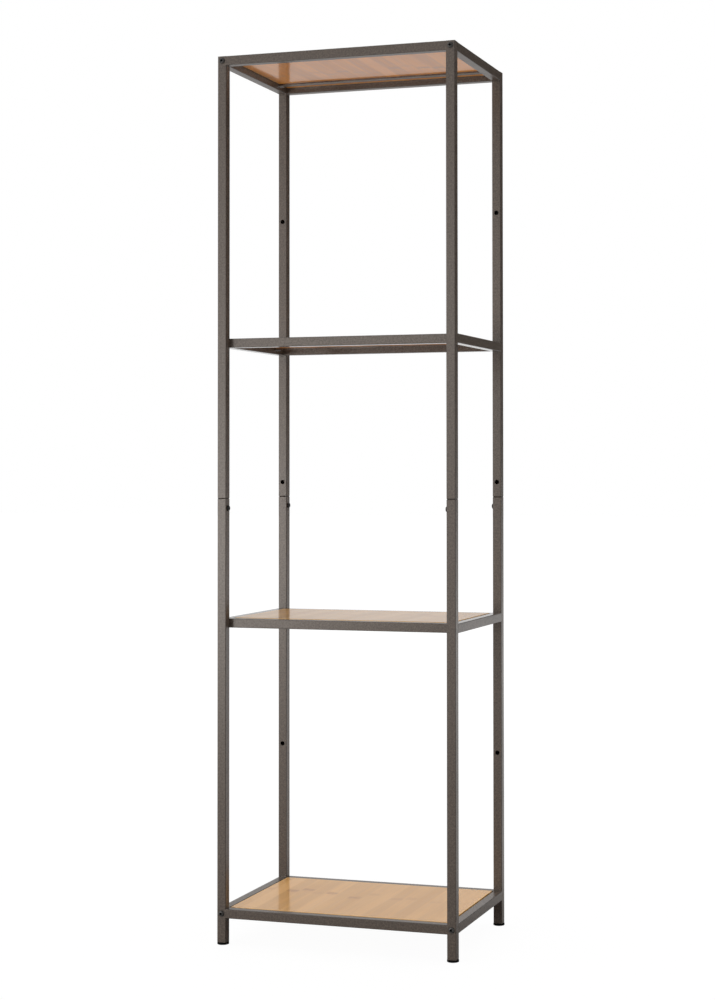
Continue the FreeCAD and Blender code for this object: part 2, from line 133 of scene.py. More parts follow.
class Shade:
    """Builds the node tree of a material or of the world."""

    def __init__(self, tree: bpy.types.NodeTree) -> None:
        """Start from an empty node tree."""
        self.tree = tree
        tree.nodes.clear()

    @classmethod
    def material(cls, name: str) -> tuple["Shade", bpy.types.Material]:
        """Make a material.

        Args:
            name: name of the material.

        Returns:
            The builder of its node tree, and the material.
        """
        made = bpy.data.materials.new(name)
        made.use_nodes = True
        return cls(made.node_tree), made

    def node(self, kind: str, settings: Optional[dict] = None,
             inputs: Optional[dict[Union[str, int], Input]] = None) -> bpy.types.Node:
        """Add a node.

        Args:
            kind: Blender's name of the node type.
            settings: properties of the node, set first.
            inputs: values or links of its sockets, by name or by number.

        Returns:
            The node.
        """
        made = self.tree.nodes.new(kind)
        for name, value in (settings or {}).items():
            setattr(made, name, value)
        for key, value in (inputs or {}).items():
            socket = made.inputs[key]
            if isinstance(value, Value):
                value = value.socket
            if isinstance(value, bpy.types.NodeSocket):
                self.tree.links.new(value, socket)
            elif socket.type == "RGBA" and len(value) == 3:
                socket.default_value = (*value, 1.0)
            else:
                socket.default_value = value
        return made

    def math(self, operation: str, *numbers: Number, clamp: bool = False) -> Value:
        """Work on up to three numbers with a Math node.

        Args:
            operation: Blender's name of the operation.
            numbers: the numbers or values worked on.
            clamp: whether the result is kept between 0 and 1.

        Returns:
            The result.
        """
        made = self.node("ShaderNodeMath", {"operation": operation, "use_clamp": clamp},
                         dict(enumerate(numbers)))
        return Value(self, made.outputs[0])

    def coordinates(self, kind: str = "Object") -> bpy.types.NodeSocket:
        """Return one of the texture coordinates."""
        return self.node("ShaderNodeTexCoord").outputs[kind]

    def split(self, vector: bpy.types.NodeSocket) -> Place:
        """Return the X, Y and Z of a vector."""
        made = self.node("ShaderNodeSeparateXYZ", inputs={0: vector})
        return tuple(Value(self, socket) for socket in made.outputs)

    def join(self, x: Number, y: Number, z: Number) -> bpy.types.NodeSocket:
        """Return the vector of three numbers."""
        return self.node("ShaderNodeCombineXYZ", inputs={0: x, 1: y, 2: z}).outputs[0]

    def noise(self, vector: bpy.types.NodeSocket, noise: Noise) -> Value:
        """Add a noise.

        Args:
            vector: where the noise is read.
            noise: what the noise is like.

        Returns:
            The noise, between about 0 and 1.
        """
        made = self.node("ShaderNodeTexNoise", inputs={
            "Vector": vector, "Scale": noise.scale, "Detail": noise.detail, "Roughness": noise.rough})
        return Value(self, made.outputs["Fac"])

    def chance(self, vector: bpy.types.NodeSocket) -> Value:
        """Return a random number from 0 to 1 that is the same all over one cell."""
        made = self.node("ShaderNodeTexWhiteNoise", {"noise_dimensions": "3D"}, {"Vector": vector})
        return Value(self, made.outputs["Value"])

    def facing(self) -> Value:
        """Return 0 where a surface is looked at straight on and 1 at its outline."""
        return Value(self, self.node("ShaderNodeLayerWeight", inputs={"Blend": 0.5}).outputs["Facing"])

    def smooth(self, value: Number, low: float, high: float, start: float = 0.0,
               end: float = 1.0) -> Value:
        """Move a value smoothly from one range to another.

        Args:
            value: the value.
            low: lower end of the value's own range.
            high: upper end of the value's own range.
            start: what the lower end becomes.
            end: what the upper end becomes.

        Returns:
            The moved value.
        """
        made = self.node("ShaderNodeMapRange", {"interpolation_type": "SMOOTHSTEP"}, {
            "Value": value, "From Min": low, "From Max": high, "To Min": start, "To Max": end})
        return Value(self, made.outputs["Result"])

    def uneven(self, noise: Value, middle: float, swing: Span) -> Value:
        """Let a number follow a noise.

        Args:
            noise: the noise.
            middle: the number without the noise.
            swing: what is added to it at the low and at the high end of the noise.

        Returns:
            The uneven number.
        """
        low, high = swing
        return self.smooth(noise, *NOISE_SPAN, middle + low, middle + high)

    def mix(self, factor: Number, first: Input, second: Input) -> bpy.types.NodeSocket:
        """Mix two colours.

        Args:
            factor: share of the second colour.
            first: the first colour.
            second: the second colour.

        Returns:
            The mixed colour.
        """
        made = self.node("ShaderNodeMix", {"data_type": "RGBA"}, {"Factor": factor, 6: first, 7: second})
        return made.outputs[2]

    def bump(self, height: Value, strength: float, distance: float) -> bpy.types.NodeSocket:
        """Make a surface look uneven.

        Args:
            height: how high the surface stands, as a share of the distance.
            strength: how much the unevenness shows.
            distance: height in metres that a value of 1 stands for.

        Returns:
            The normal of the uneven surface.
        """
        inputs = {"Height": height, "Strength": strength, "Distance": distance}
        return self.node("ShaderNodeBump", inputs=inputs).outputs[0]

    def surface(self, inputs: dict[str, Input]) -> None:
        """Finish a material with one Principled shader."""
        shader = self.node("ShaderNodeBsdfPrincipled", inputs=inputs)
        self.node("ShaderNodeOutputMaterial", inputs={"Surface": shader.outputs[0]})


# ------------------------------------------------------------------ finishes

@dataclass(frozen=True)
class PowderCoat:
    """Dark bronze powder coat with a fine grainy texture, and painted shade over the tubes' rounded edges.
    """

    name: str = "bronze_powder_coat"
    dark: Colour = (0.064, 0.049, 0.039)
    light: Colour = (0.163, 0.1265, 0.1005)
    # Painted shade: the colour laid over the tubes' rounded edges.
    edge: Colour = (0.030, 0.024, 0.020)
    grain: Noise = Noise(900.0, 3.0, 0.6)
    mottle: Noise = Noise(300.0, 4.0, 0.6)
    tone_shares: Span = (0.50, 0.50)
    tone_span: Span = (0.36, 0.64)
    edge_shade_span: Span = (0.90, 0.995)
    edge_shade_share: float = 0.75
    roughness: float = 0.335
    swing: Span = (0.06, -0.06)
    sleek_span: Span = (0.86, 0.93)
    sleekest: float = 0.25
    height_shares: Span = (0.7, 0.3)
    bump: Span = (0.25, 0.0003)

    def make(self) -> bpy.types.Material:
        """Make the material, which is sleeker where it is looked at along its surface.

        Returns:
            The material.
        """
        shade, made = Shade.material(self.name)
        place = shade.coordinates()
        grain = shade.noise(place, self.grain)
        mottle = shade.noise(place, self.mottle)
        tone = shade.smooth(self._blend(grain, mottle, self.tone_shares), *self.tone_span)
        sleek = shade.smooth(shade.facing(), *self.sleek_span, 1.0, self.sleekest)
        shade.surface({
            # The rounded edges get painted shade.
            "Base Color": shade.mix(self._edge_shade(shade), shade.mix(tone, self.dark, self.light), self.edge),
            "Roughness": shade.uneven(grain, self.roughness, self.swing) * sleek,
            "Normal": shade.bump(self._blend(grain, mottle, self.height_shares), *self.bump),
            "IOR": COAT_IOR,
        })
        return made

    @staticmethod
    def _blend(first: Value, second: Value, shares: Span) -> Value:
        """Return the sum of two values, each times its share."""
        return first * shares[0] + second * shares[1]

    def _edge_shade(self, shade: Shade) -> Value:
        """Find the rounded edges, which get painted shade, by how far the normal turns away from all three
        axes.

        Args:
            shade: the material's node tree.

        Returns:
            The share of the painted shade on the edges.
        """
        across, along, rise = (abs(part) for part in shade.split(shade.coordinates("Normal")))
        square = shade.math("MAXIMUM", shade.math("MAXIMUM", across, along), rise)
        return shade.smooth(square, *self.edge_shade_span, self.edge_shade_share, 0.0)


@dataclass(frozen=True)
class WoodNoise:
    """A noise drawn out along a board and different on each board.

    The frequencies count the noise's cells in each metre along X, Y and Z. The seed moves the
    pattern on from one board to the next.
    """

    frequency: tuple[float, float, float]
    seed: float
    noise: Noise = Noise(1.0)

    def over(self, shade: Shade, place: Place, board: Value) -> Value:
        """Lay the noise over the boards.

        Args:
            shade: the material's node tree.
            place: where the noise is read.
            board: number of the board, counted upwards.

        Returns:
            The noise, between about 0 and 1.
        """
        x, y, z = place
        across, along, rise = self.frequency
        level = board * self.seed
        if rise:
            level = level + z * rise
        return shade.noise(shade.join(x * across, y * along, level), self.noise)


@dataclass(frozen=True)
class BambooBoard:
    """Lacquered bamboo: soft strips from front to back, with fibres and a row of node marks."""

    name: str = "bamboo_board"
    pale: Colour = (0.93, 0.530, 0.200)
    deep: Colour = (0.77, 0.418, 0.145)
    # Painted light: the undersides get their own redder copy of the wood colours, for warm light bounced up
    # onto them.
    painted_under_pale: Colour = (1.0, 0.382, 0.052)
    painted_under_deep: Colour = (0.72, 0.262, 0.034)
    mark: Colour = (0.55, 0.255, 0.100)
    # Painted highlight: the pale colour along the boards' edges.
    rim: Colour = (1.0, 0.63, 0.24)
    # Painted shade: black mixed over one whole board.
    board_shade: Colour = (0.0, 0.0, 0.0)
    # The board that gets painted shade from the boards above it, counted from the bottom one, which is 0.
    shaded_board: float = 1.0
    board_shade_share: float = 0.22
    # Spacing of the levels that tell the boards apart, and how far below a board its level starts.
    board_pitch: float = 0.5
    board_start: float = 0.1
    # Strips: width, shift from board to board, how far they wander and how dark their edges are.
    strip: float = 0.026
    strip_shift: float = 0.37
    strip_wander: float = 0.5
    seam_span: Span = (0.30, 0.5)
    seam_tone: float = 0.4
    wander: WoodNoise = WoodNoise((9.0, 5.0, 0.0), 3.0)
    streaks: WoodNoise = WoodNoise((160.0, 5.0, 60.0), 5.0, Noise(1.0, 2.0, 0.55))
    clouds: WoodNoise = WoodNoise((14.0, 5.0, 20.0), 11.0)
    fibres: WoodNoise = WoodNoise((420.0, 9.0, 90.0), 7.0, Noise(1.0, 1.0, 0.5))
    smudge: WoodNoise = WoodNoise((70.0, 90.0, 0.0), 9.0)
    # Shares of the strips' own tones, the streaks, the clouds and the fibres.
    figure_shares: tuple[float, float, float, float] = (0.40, 0.45, 0.48, 0.12)
    figure_span: Span = (0.28, 0.78)
    # Numbers that give each strip three random values that don't go together.
    tone_seed: float = 0.0
    shift_seed: float = 7.0
    marked_seed: float = 3.0
    # Node marks: their row, how far they leave it, how ragged they are, their width and strength.
    mark_row: float = 0.02
    mark_spread: float = 0.045
    mark_ragged: float = 0.02
    mark_span: Span = (0.001, 0.014)
    mark_share: float = 0.65
    marked_span: Span = (0.30, 0.90)
    # Boards' half width, half depths and levels of the loose shelves, and widths of the painted edge
    # highlights.
    half_width: float = 0.206
    half_depths: Span = (0.1165, 0.133)
    loose_levels: Span = (0.3, 1.3)
    edge_highlight_widths: Span = (0.003, 0.005)
    edge_highlight_share: float = 0.45
    roughness: float = 0.30
    swing: Span = (0.0, 0.08)
    bump: Span = (0.06, 0.0001)
    specular: float = 0.05
    # Weight of the lacquer on the underside and on the top.
    coat_weights: Span = (0.75, 0.62)
    coat_roughness: float = 0.11

    def make(self) -> bpy.types.Material:
        """Make the material.

        Returns:
            The material.
        """
        shade, made = Shade.material(self.name)
        place = shade.split(shade.coordinates())
        up = shade.smooth(shade.split(shade.coordinates("Normal"))[2], -0.5, 0.5)
        board = shade.math("FLOOR", (place[2] + self.board_start) / self.board_pitch)
        wander = self.wander.over(shade, place, board)
        count = place[0] / self.strip + board * self.strip_shift + wander * self.strip_wander
        strip = shade.math("FLOOR", count)
        middle = abs(shade.math("FRACT", count) - 0.5)
        seam = shade.smooth(middle, *self.seam_span, 1.0, self.seam_tone)
        streaks = self.streaks.over(shade, place, board)
        fibres = self.fibres.over(shade, place, board)
        own, streaky, cloudy, fibrous = self.figure_shares
        tone = shade.chance(shade.join(strip, board, self.tone_seed))
        clouds = self.clouds.over(shade, place, board)
        figure = shade.smooth(
            (tone - 0.5) * seam * own + streaks * streaky + clouds * cloudy + fibres * fibrous,
            *self.figure_span)
        top = shade.mix(figure, self.deep, self.pale)
        # Painted light: the undersides take the redder copy, the tops the wood's own colours.
        underside = shade.mix(figure, self.painted_under_deep, self.painted_under_pale)
        # Painted shade darkens one whole board.
        board_shade = shade.math("COMPARE", board, self.shaded_board, 0.1) * self.board_shade_share
        colour = shade.mix(board_shade, shade.mix(up, underside, top), self.board_shade)
        colour = shade.mix(self._marks(shade, place, board, strip) * seam, colour, self.mark)
        # A painted highlight brightens the boards' edges.
        colour = shade.mix(self._rim(shade, place) * self.edge_highlight_share, colour, self.rim)
        shade.surface({
            "Base Color": colour,
            "Roughness": shade.uneven(streaks, self.roughness, self.swing),
            "Normal": shade.bump(fibres, *self.bump),
            "IOR": COAT_IOR,
            "Specular IOR Level": self.specular,
            "Coat Weight": shade.smooth(up, 0.0, 1.0, *self.coat_weights),
            "Coat Roughness": self.coat_roughness,
            "Coat IOR": COAT_IOR,
        })
        return made

    def _marks(self, shade: Shade, place: Place, board: Value, strip: Value) -> Value:
        """Put a node mark across some of the strips, all near one row.

        Args:
            shade: the material's node tree.
            place: where the board is looked at.
            board: number of the board.
            strip: number of the strip.

        Returns:
            The share of the marks' colour.
        """
        shift = shade.chance(shade.join(strip, board, self.shift_seed))
        smudge = self.smudge.over(shade, place, board)
        row = abs(place[1] - self.mark_row + (shift - 0.5) * self.mark_spread
                  + (smudge - 0.5) * self.mark_ragged)
        chance = shade.chance(shade.join(strip, board, self.marked_seed))
        marked = shade.smooth(chance, *self.marked_span)
        return shade.smooth(row, *self.mark_span, self.mark_share, 0.0) * marked

    def _rim(self, shade: Shade, place: Place) -> Value:
        """Find the boards' edges, which get a painted highlight for eased edges catching the light.

        Args:
            shade: the material's node tree.
            place: where the board is looked at.

        Returns:
            1 at a board's edges and 0 further in.
        """
        x, y, z = place
        loose_depth, fixed_depth = self.half_depths
        low, high = self.loose_levels
        loose = shade.math("GREATER_THAN", z, low) * shade.math("LESS_THAN", z, high)
        half_depth = fixed_depth + loose * (loose_depth - fixed_depth)
        side, front = self.edge_highlight_widths
        beside = shade.smooth(self.half_width - abs(x), side / 2, side, 1.0, 0.0)
        before = shade.smooth(half_depth - abs(y), front / 2, front, 1.0, 0.0)
        return shade.math("MAXIMUM", beside, before)


@dataclass(frozen=True)
class PlatedSteel:
    """Bright plated steel with a fine grain and a little clouding."""

    name: str
    colour: Colour
    dull: Colour
    roughness: float
    swing: Span = (-0.05, 0.08)
    grain: Noise = Noise(1500.0)
    clouds: Noise = Noise(120.0, 3.0, 0.6)
    cloud_span: Span = (0.35, 0.65)
    bump: Span = (0.15, 0.0001)

    def make(self) -> bpy.types.Material:
        """Make the material.

        Returns:
            The material.
        """
        shade, made = Shade.material(self.name)
        place = shade.coordinates()
        clouds = shade.smooth(shade.noise(place, self.clouds), *self.cloud_span)
        grain = shade.noise(place, self.grain)
        shade.surface({
            "Base Color": shade.mix(clouds, self.dull, self.colour),
            "Metallic": 1.0,
            "Roughness": shade.uneven(grain, self.roughness, self.swing),
            "Normal": shade.bump(grain, *self.bump),
        })
        return made


@dataclass(frozen=True)
class BlackBolt:
    """Black oxide on a forged bolt head, with painted shade filling the socket."""

    name: str = "black_bolt"
    dark: Colour = (0.040, 0.038, 0.037)
    worn: Colour = (0.100, 0.094, 0.090)
    # A darker colour for the joint bolts.
    joint_dark: Colour = (0.005, 0.005, 0.0055)
    # Painted shade: the near-black colour inside the sockets.
    socket_shade: Colour = (0.001, 0.001, 0.001)
    clouds: Noise = Noise(500.0, 3.0, 0.6)
    worn_span: Span = (0.35, 0.7)
    metallic: float = 0.35
    roughness: float = 0.26
    swing: Span = (-0.05, 0.1)
    # Extra roughness inside the sockets, under the painted shade.
    socket_roughening: float = 0.6
    bump: Span = (0.1, 0.0001)
    # Places of the bolts' axes: the posts, the levels of the corner bolts and of the joint bolts.
    post_x: float = 0.21675
    post_y: float = 0.14175
    corner_levels: Span = (0.05575, 1.59175)
    joint_level: float = 0.7825
    # Radii between which a socket ends.
    socket: Span = (0.0021, 0.0025)
    # The joint bolts are darker: how far from their level this reaches, and its share.
    joint_dark_reach: Span = (0.01, 0.02)
    joint_dark_share: float = 0.9

    def make(self) -> bpy.types.Material:
        """Make the material.

        Returns:
            The material.
        """
        shade, made = Shade.material(self.name)
        place = shade.coordinates()
        x, y, z = shade.split(place)
        clouds = shade.noise(place, self.clouds)
        low, high = self.corner_levels
        rise = shade.math("MINIMUM", abs(z - low), abs(z - high))
        corner = self._distance(shade, abs(x) - self.post_x, rise)
        joint = self._distance(shade, abs(y) - self.post_y, z - self.joint_level)
        # The sockets' hollows get painted shade.
        inside = shade.smooth(shade.math("MINIMUM", corner, joint), *self.socket, 1.0, 0.0)
        joint_dark = shade.smooth(abs(z - self.joint_level), *self.joint_dark_reach, self.joint_dark_share, 0.0)
        metal = shade.mix(shade.smooth(clouds, *self.worn_span), self.dark, self.worn)
        metal = shade.mix(joint_dark, metal, self.joint_dark)
        shade.surface({
            "Base Color": shade.mix(inside, metal, self.socket_shade),
            "Metallic": self.metallic,
            "Roughness": shade.uneven(clouds, self.roughness, self.swing) + inside * self.socket_roughening,
            "Normal": shade.bump(clouds, *self.bump),
        })
        return made

    @staticmethod
    def _distance(shade: Shade, first: Value, second: Value) -> Value:
        """Return the distance from a bolt's axis, from its two parts."""
        return shade.math("SQRT", first * first + second * second)


@dataclass(frozen=True)
class MouldedPlastic:
    """Black moulded plastic with a fine grain."""

    name: str = "black_plastic"
    dark: Colour = (0.002, 0.002, 0.002)
    light: Colour = (0.006, 0.006, 0.006)
    grain: Noise = Noise(1800.0)
    scuffs: Noise = Noise(160.0, 4.0, 0.65)
    scuff_span: Span = (0.45, 0.75)
    roughness: float = 0.75
    swing: Span = (-0.06, 0.1)
    bump: Span = (0.2, 0.00012)
    specular: float = 0.12

    def make(self) -> bpy.types.Material:
        """Make the material.

        Returns:
            The material.
        """
        shade, made = Shade.material(self.name)
        place = shade.coordinates()
        grain = shade.noise(place, self.grain)
        scuffs = shade.smooth(shade.noise(place, self.scuffs), *self.scuff_span)
        shade.surface({
            "Base Color": shade.mix(scuffs, self.dark, self.light),
            "Roughness": shade.uneven(grain, self.roughness, self.swing),
            "Normal": shade.bump(grain, *self.bump),
            "Specular IOR Level": self.specular,
        })
        return made


class Slot(Enum):
    """The material slots of the record, each with its finish."""

    FRAME = PowderCoat()
    BOARD = BambooBoard()
    STEEL = PlatedSteel("zinc_steel", (0.62, 0.62, 0.60), (0.45, 0.45, 0.44), 0.34)
    TAB = PlatedSteel("bright_tab", (0.72, 0.73, 0.75), (0.60, 0.61, 0.63), 0.30)
    BOLT = BlackBolt()
    PLASTIC = MouldedPlastic()


class Finishes:
    """Makes each finish once and puts it on parts and pieces."""

    def __init__(self) -> None:
        """Make all the materials."""
        self.made = {slot.value.name: slot.value.make() for slot in Slot}

    def dress(self, piece: bpy.types.Object, name: str) -> None:
        """Give every material slot of an object one finish.

        Args:
            piece: the object.
            name: name of the finish.
        """
        if not piece.material_slots:
            piece.data.materials.append(self.made[name])
        for slot in piece.material_slots:
            slot.material = self.made[name]

    def dress_frame(self) -> None:
        """Give every part of the construction model the finish that the record names."""
        for part in frame["record"]["subparts"]:
            self.dress(frame["nodes"][part["node"]], part["material_slot"])


# ------------------------------------------------------------------ modelled pieces

class Workpiece:
    """One mesh piece that is shaped with Blender's own tools and then fitted to the unit."""

    def __init__(self, name: str) -> None:
        """Take over the object that was just added, under a new name."""
        self.piece = bpy.context.object
        self.piece.name = name

    @classmethod
    def block(cls, name: str, centre: Vector, size: tuple[float, float, float]) -> "Workpiece":
        """Start from a block.

        Args:
            name: name of the piece.
            centre: middle of the block.
            size: its lengths along X, Y and Z.

        Returns:
            The piece.
        """
        bpy.ops.object.select_all(action="DESELECT")
        bpy.ops.mesh.primitive_cube_add(size=1.0, location=centre, scale=size)
        return cls(name).settle()

    def settle(self) -> "Workpiece":
        """Move the object's place, turn and scale into its mesh.

        Returns:
            The piece itself.
        """
        self.alone()
        bpy.ops.object.transform_apply(location=True, rotation=True, scale=True)
        return self

    def alone(self) -> None:
        """Select this piece and nothing else."""
        bpy.ops.object.select_all(action="DESELECT")
        self.piece.select_set(True)
        bpy.context.view_layer.objects.active = self.piece

    def pick(self, faces: Optional[FaceTest] = None, edges: Optional[EdgeTest] = None) -> None:
        """Go to edit mode and select either faces or edges.

        Args:
            faces: tells which faces to select.
            edges: tells which edges to select where no test of faces is given.
        """
        self.alone()
        bpy.ops.object.mode_set(mode="EDIT")
        bpy.ops.mesh.select_mode(type="FACE" if faces else "EDGE")
        bpy.ops.mesh.select_all(action="DESELECT")
        mesh = bmesh.from_edit_mesh(self.piece.data)
        for part in mesh.faces if faces else mesh.edges:
            part.select_set((faces or edges)(part))
        bmesh.update_edit_mesh(self.piece.data)

    def bevel(self, edges: EdgeTest, width: float, segments: int) -> None:
        """Round some of the edges.

        Args:
            edges: tells which edges are rounded.
            width: width of the rounding.
            segments: number of faces across it.
        """
        self.pick(edges=edges)
        bpy.ops.mesh.bevel(offset=width, segments=segments, affect="EDGES")
        bpy.ops.object.mode_set(mode="OBJECT")

    def cut(self, point: Vector, outward: Vector) -> None:
        """Cut off what lies beyond a plane and close the cut.

        Args:
            point: a point of the plane.
            outward: direction from the plane to what is cut off.
        """
        self.alone()
        bpy.ops.object.mode_set(mode="EDIT")
        bpy.ops.mesh.select_all(action="SELECT")
        bpy.ops.mesh.bisect(plane_co=point, plane_no=outward, use_fill=True, clear_outer=True)
        bpy.ops.object.mode_set(mode="OBJECT")

    def sink(self, faces: FaceTest, border: float, step: Vector) -> None:
        """Push the middle of some of the faces in.

        Args:
            faces: tells which faces are pushed in.
            border: width of the border that stays.
            step: how far, and in which direction, they are pushed.
        """
        self.pick(faces=faces)
        bpy.ops.mesh.inset(thickness=border)
        bpy.ops.mesh.extrude_region_move(TRANSFORM_OT_translate={"value": step})
        bpy.ops.object.mode_set(mode="OBJECT")

    def clean(self) -> None:
        """Merge doubles, turn the normals outwards and shade by angle."""
        self.alone()
        bpy.ops.object.mode_set(mode="EDIT")
        bpy.ops.mesh.select_all(action="SELECT")
        bpy.ops.mesh.remove_doubles(threshold=TOUCH)
        bpy.ops.mesh.normals_make_consistent(inside=False)
        bpy.ops.object.mode_set(mode="OBJECT")
        bpy.ops.object.shade_smooth_by_angle(angle=math.radians(SMOOTH_ANGLE))

    def copy(self, name: str, change: Matrix) -> "Workpiece":
        """Copy the piece with its own mesh.

        Args:
            name: name of the copy.
            change: where the copy goes from here, as a move or a mirroring.

        Returns:
            The copy.
        """
        self.alone()
        bpy.ops.object.duplicate()
        made = Workpiece(name)
        made.piece.data.transform(change)
        if change.determinant() < 0:
            made.piece.data.flip_normals()
        return made

    def fit(self, finishes: Finishes, slot: Slot, body: str, *replaced: str) -> None:
        """Finish the piece.

        Args:
            finishes: the made finishes.
            slot: the slot whose finish the piece takes.
            body: the body that the piece moves with.
            replaced: the parts that the piece stands for.
        """
        finishes.dress(self.piece, slot.value.name)
        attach(self.piece, body)
        if replaced:
            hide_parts(*replaced)
        log.info("%s rides on %s", self.piece.name, body)


# Each corner's name and its sides of the unit along X and Y.
CORNERS = tuple((f"{face}_{side}", x_sign, y_sign)
                for face, y_sign in (("front", -1), ("rear", 1))
                for side, x_sign in (("left", -1), ("right", 1)))


@dataclass
class SeamFills:
    """Ground weld in the grooves where the front and rear rails meet the rounded posts."""

    finishes: Finishes
    tube_round: float = 0.001
    end_round: float = 0.0009
    segments: int = 4

    def make(self) -> None:
        """Model one fill for each rail and mirror it to the rail's other three seams."""
        across, along = (Matrix.Scale(-1, 4, Vector(axis)) for axis in ((1, 0, 0), (0, 1, 0)))
        for shelf in ("bottom", "top"):
            for face in ("front", "rear"):
                low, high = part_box(f"rail_{shelf}_{face}")
                first = self._fill(f"weld_{shelf}_{face}_1", low, high)
                about = Matrix.Translation((low + high) / 2)
                fills = [first] + [
                    first.copy(f"weld_{shelf}_{face}_{number}", about @ mirror @ about.inverted())
                    for number, mirror in enumerate((across, along, across @ along), start=2)]
                for fill in fills:
                    fill.fit(self.finishes, Slot.FRAME, "rack")

    def _fill(self, name: str, low: Vector, high: Vector) -> Workpiece:
        """Model the fill at a rail's right end, on its front edge.

        Args:
            name: name of the piece.
            low: lowest corner of the rail's box.
            high: highest corner of the rail's box.

        Returns:
            The fill.
        """
        size = self.tube_round
        corner = Vector((high.x, low.y, (low.z + high.z) / 2))
        fill = Workpiece.block(name, corner + Vector((size / 2, size / 2, 0)),
                               (size, size, high.z - low.z))
        fill.cut(corner + Vector((size, 0, 0)), Vector((1, 1, 0)).normalized())
        fill.bevel(lambda edge: self._outer_end(edge, low.y), self.end_round, self.segments)
        fill.clean()
        return fill

    @staticmethod
    def _outer_end(edge: bmesh.types.BMEdge, face: float) -> bool:
        """Tell whether an edge runs across the seam on its outer face.

        Args:
            edge: the edge.
            face: where the outer face lies along Y.

        Returns:
            True for the short edges at the two ends of that face.
        """
        first, second = (vertex.co for vertex in edge.verts)
        level = abs(first.z - second.z) < TOUCH
        return level and max(abs(first.y - face), abs(second.y - face)) < TOUCH


@dataclass
class PostCaps:
    """Moulded caps let into the tops of the posts, each with a shallow dish."""

    finishes: Finishes
    corner_round: float = 0.0008
    corner_segments: int = 4
    rim_round: float = 0.0003
    rim_segments: int = 2
    rim: float = 0.0018
    dish: float = 0.0005
    # A face whose normal rises more than this looks upwards.
    upward: float = 0.9

    def make(self) -> None:
        """Model one cap and copy it to the other posts."""
        low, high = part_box("post_caps")
        post_low, post_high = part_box("post_front_left_upper")
        centre = (post_low + post_high) / 2
        half = centre.x - low.x
        centre.z = (low.z + high.z) / 2
        cap = Workpiece.block("cap_front_left", centre, (2 * half, 2 * half, high.z - low.z))
        cap.bevel(self._upright, self.corner_round, self.corner_segments)
        cap.sink(lambda face: face.normal.z > self.upward, self.rim, Vector((0, 0, -self.dish)))
        cap.bevel(lambda edge: self._rim(edge, high.z), self.rim_round, self.rim_segments)
        cap.clean()
        for corner, x_sign, y_sign in CORNERS:
            here = cap
            if corner != "front_left":
                far = Vector((x_sign * abs(centre.x), y_sign * abs(centre.y), centre.z))
                here = cap.copy(f"cap_{corner}", Matrix.Translation(far - centre))
            here.fit(self.finishes, Slot.PLASTIC, "rack", "post_caps")

    @staticmethod
    def _upright(edge: bmesh.types.BMEdge) -> bool:
        """Tell whether an edge isn't level."""
        return abs(edge.verts[0].co.z - edge.verts[1].co.z) > TOUCH

    @staticmethod
    def _rim(edge: bmesh.types.BMEdge, top: float) -> bool:
        """Tell whether an edge lies in the top face of a cap."""
        return all(abs(vertex.co.z - top) < TOUCH for vertex in edge.verts)


@dataclass
class ThreadedStuds:
    """Screw threads on the studs of the levelling feet."""

    finishes: Finishes
    pitch: float = 0.00125
    depth: float = 0.0007
    # Where the crest of the thread starts and ends, as shares of the pitch.
    crest: Span = (0.45, 0.55)
    segments: int = 32
    # Turns wound beyond the stud's length, to be cut off at its ends.
    spare_turns: int = 2

    def make(self) -> None:
        """Model one stud and copy it to the other feet."""
        low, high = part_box("foot_front_left_stud")
        stud = self._stud("stud_front_left", low, high)
        for corner, _, _ in CORNERS:
            here = stud
            if corner != "front_left":
                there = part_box(f"foot_{corner}_stud")[0]
                here = stud.copy(f"stud_{corner}", Matrix.Translation(there - low))
            here.fit(self.finishes, Slot.STEEL, f"foot_{corner}", f"foot_{corner}_stud")

    def _stud(self, name: str, low: Vector, high: Vector) -> Workpiece:
        """Model a threaded stud and cut both its ends square.

        Args:
            name: name of the piece.
            low: lowest corner of the plain stud's box.
            high: highest corner of the plain stud's box.

        Returns:
            The stud.
        """
        centre = (low + high) / 2
        stud = self._profile(name, (high.x - low.x) / 2)
        self._wind(stud, math.ceil((high.z - low.z) / self.pitch) + self.spare_turns)
        stud.piece.data.transform(Matrix.Translation((centre.x, centre.y, low.z - self.pitch)))
        stud.clean()
        stud.cut(Vector((centre.x, centre.y, high.z)), Vector((0, 0, 1)))
        stud.cut(Vector((centre.x, centre.y, low.z)), Vector((0, 0, -1)))
        stud.clean()
        return stud

    def _profile(self, name: str, radius: float) -> Workpiece:
        """Draw one turn of the thread in section, as a chain of edges beside the Z axis.

        Args:
            name: name of the piece.
            radius: outer radius of the thread.

        Returns:
            The piece with the chain.
        """
        bpy.ops.object.select_all(action="DESELECT")
        bpy.ops.mesh.primitive_plane_add(size=self.pitch, location=(0, 0, 0))
        stud = Workpiece(name)
        root = radius - self.depth
        start, end = self.crest
        section = [(root, 0.0), (radius, start), (radius, end), (root, 1.0)]
        stud.pick(faces=lambda face: True)
        bpy.ops.mesh.delete(type="ONLY_FACE")
        mesh = bmesh.from_edit_mesh(stud.piece.data)
        for edge in list(mesh.edges):
            mesh.edges.remove(edge)
        points = list(mesh.verts)
        for point, (reach, rise) in zip(points, section):
            point.co = (reach, 0.0, rise * self.pitch)
        for first, second in zip(points, points[1:]):
            mesh.edges.new((first, second))
        bmesh.update_edit_mesh(stud.piece.data)
        bpy.ops.object.mode_set(mode="OBJECT")
        return stud

    def _wind(self, stud: Workpiece, turns: int) -> None:
        """Wind the section up the Z axis.

        Args:
            stud: the piece with the section.
            turns: number of turns.
        """
        wind = stud.piece.modifiers.new("thread", "SCREW")
        wind.axis = "Z"
        wind.screw_offset = self.pitch
        wind.iterations = turns
        wind.steps = wind.render_steps = self.segments
        wind.use_merge_vertices = True
        wind.merge_threshold = TOUCH
        bpy.ops.object.modifier_apply(modifier=wind.name)


# ------------------------------------------------------------------ the studio

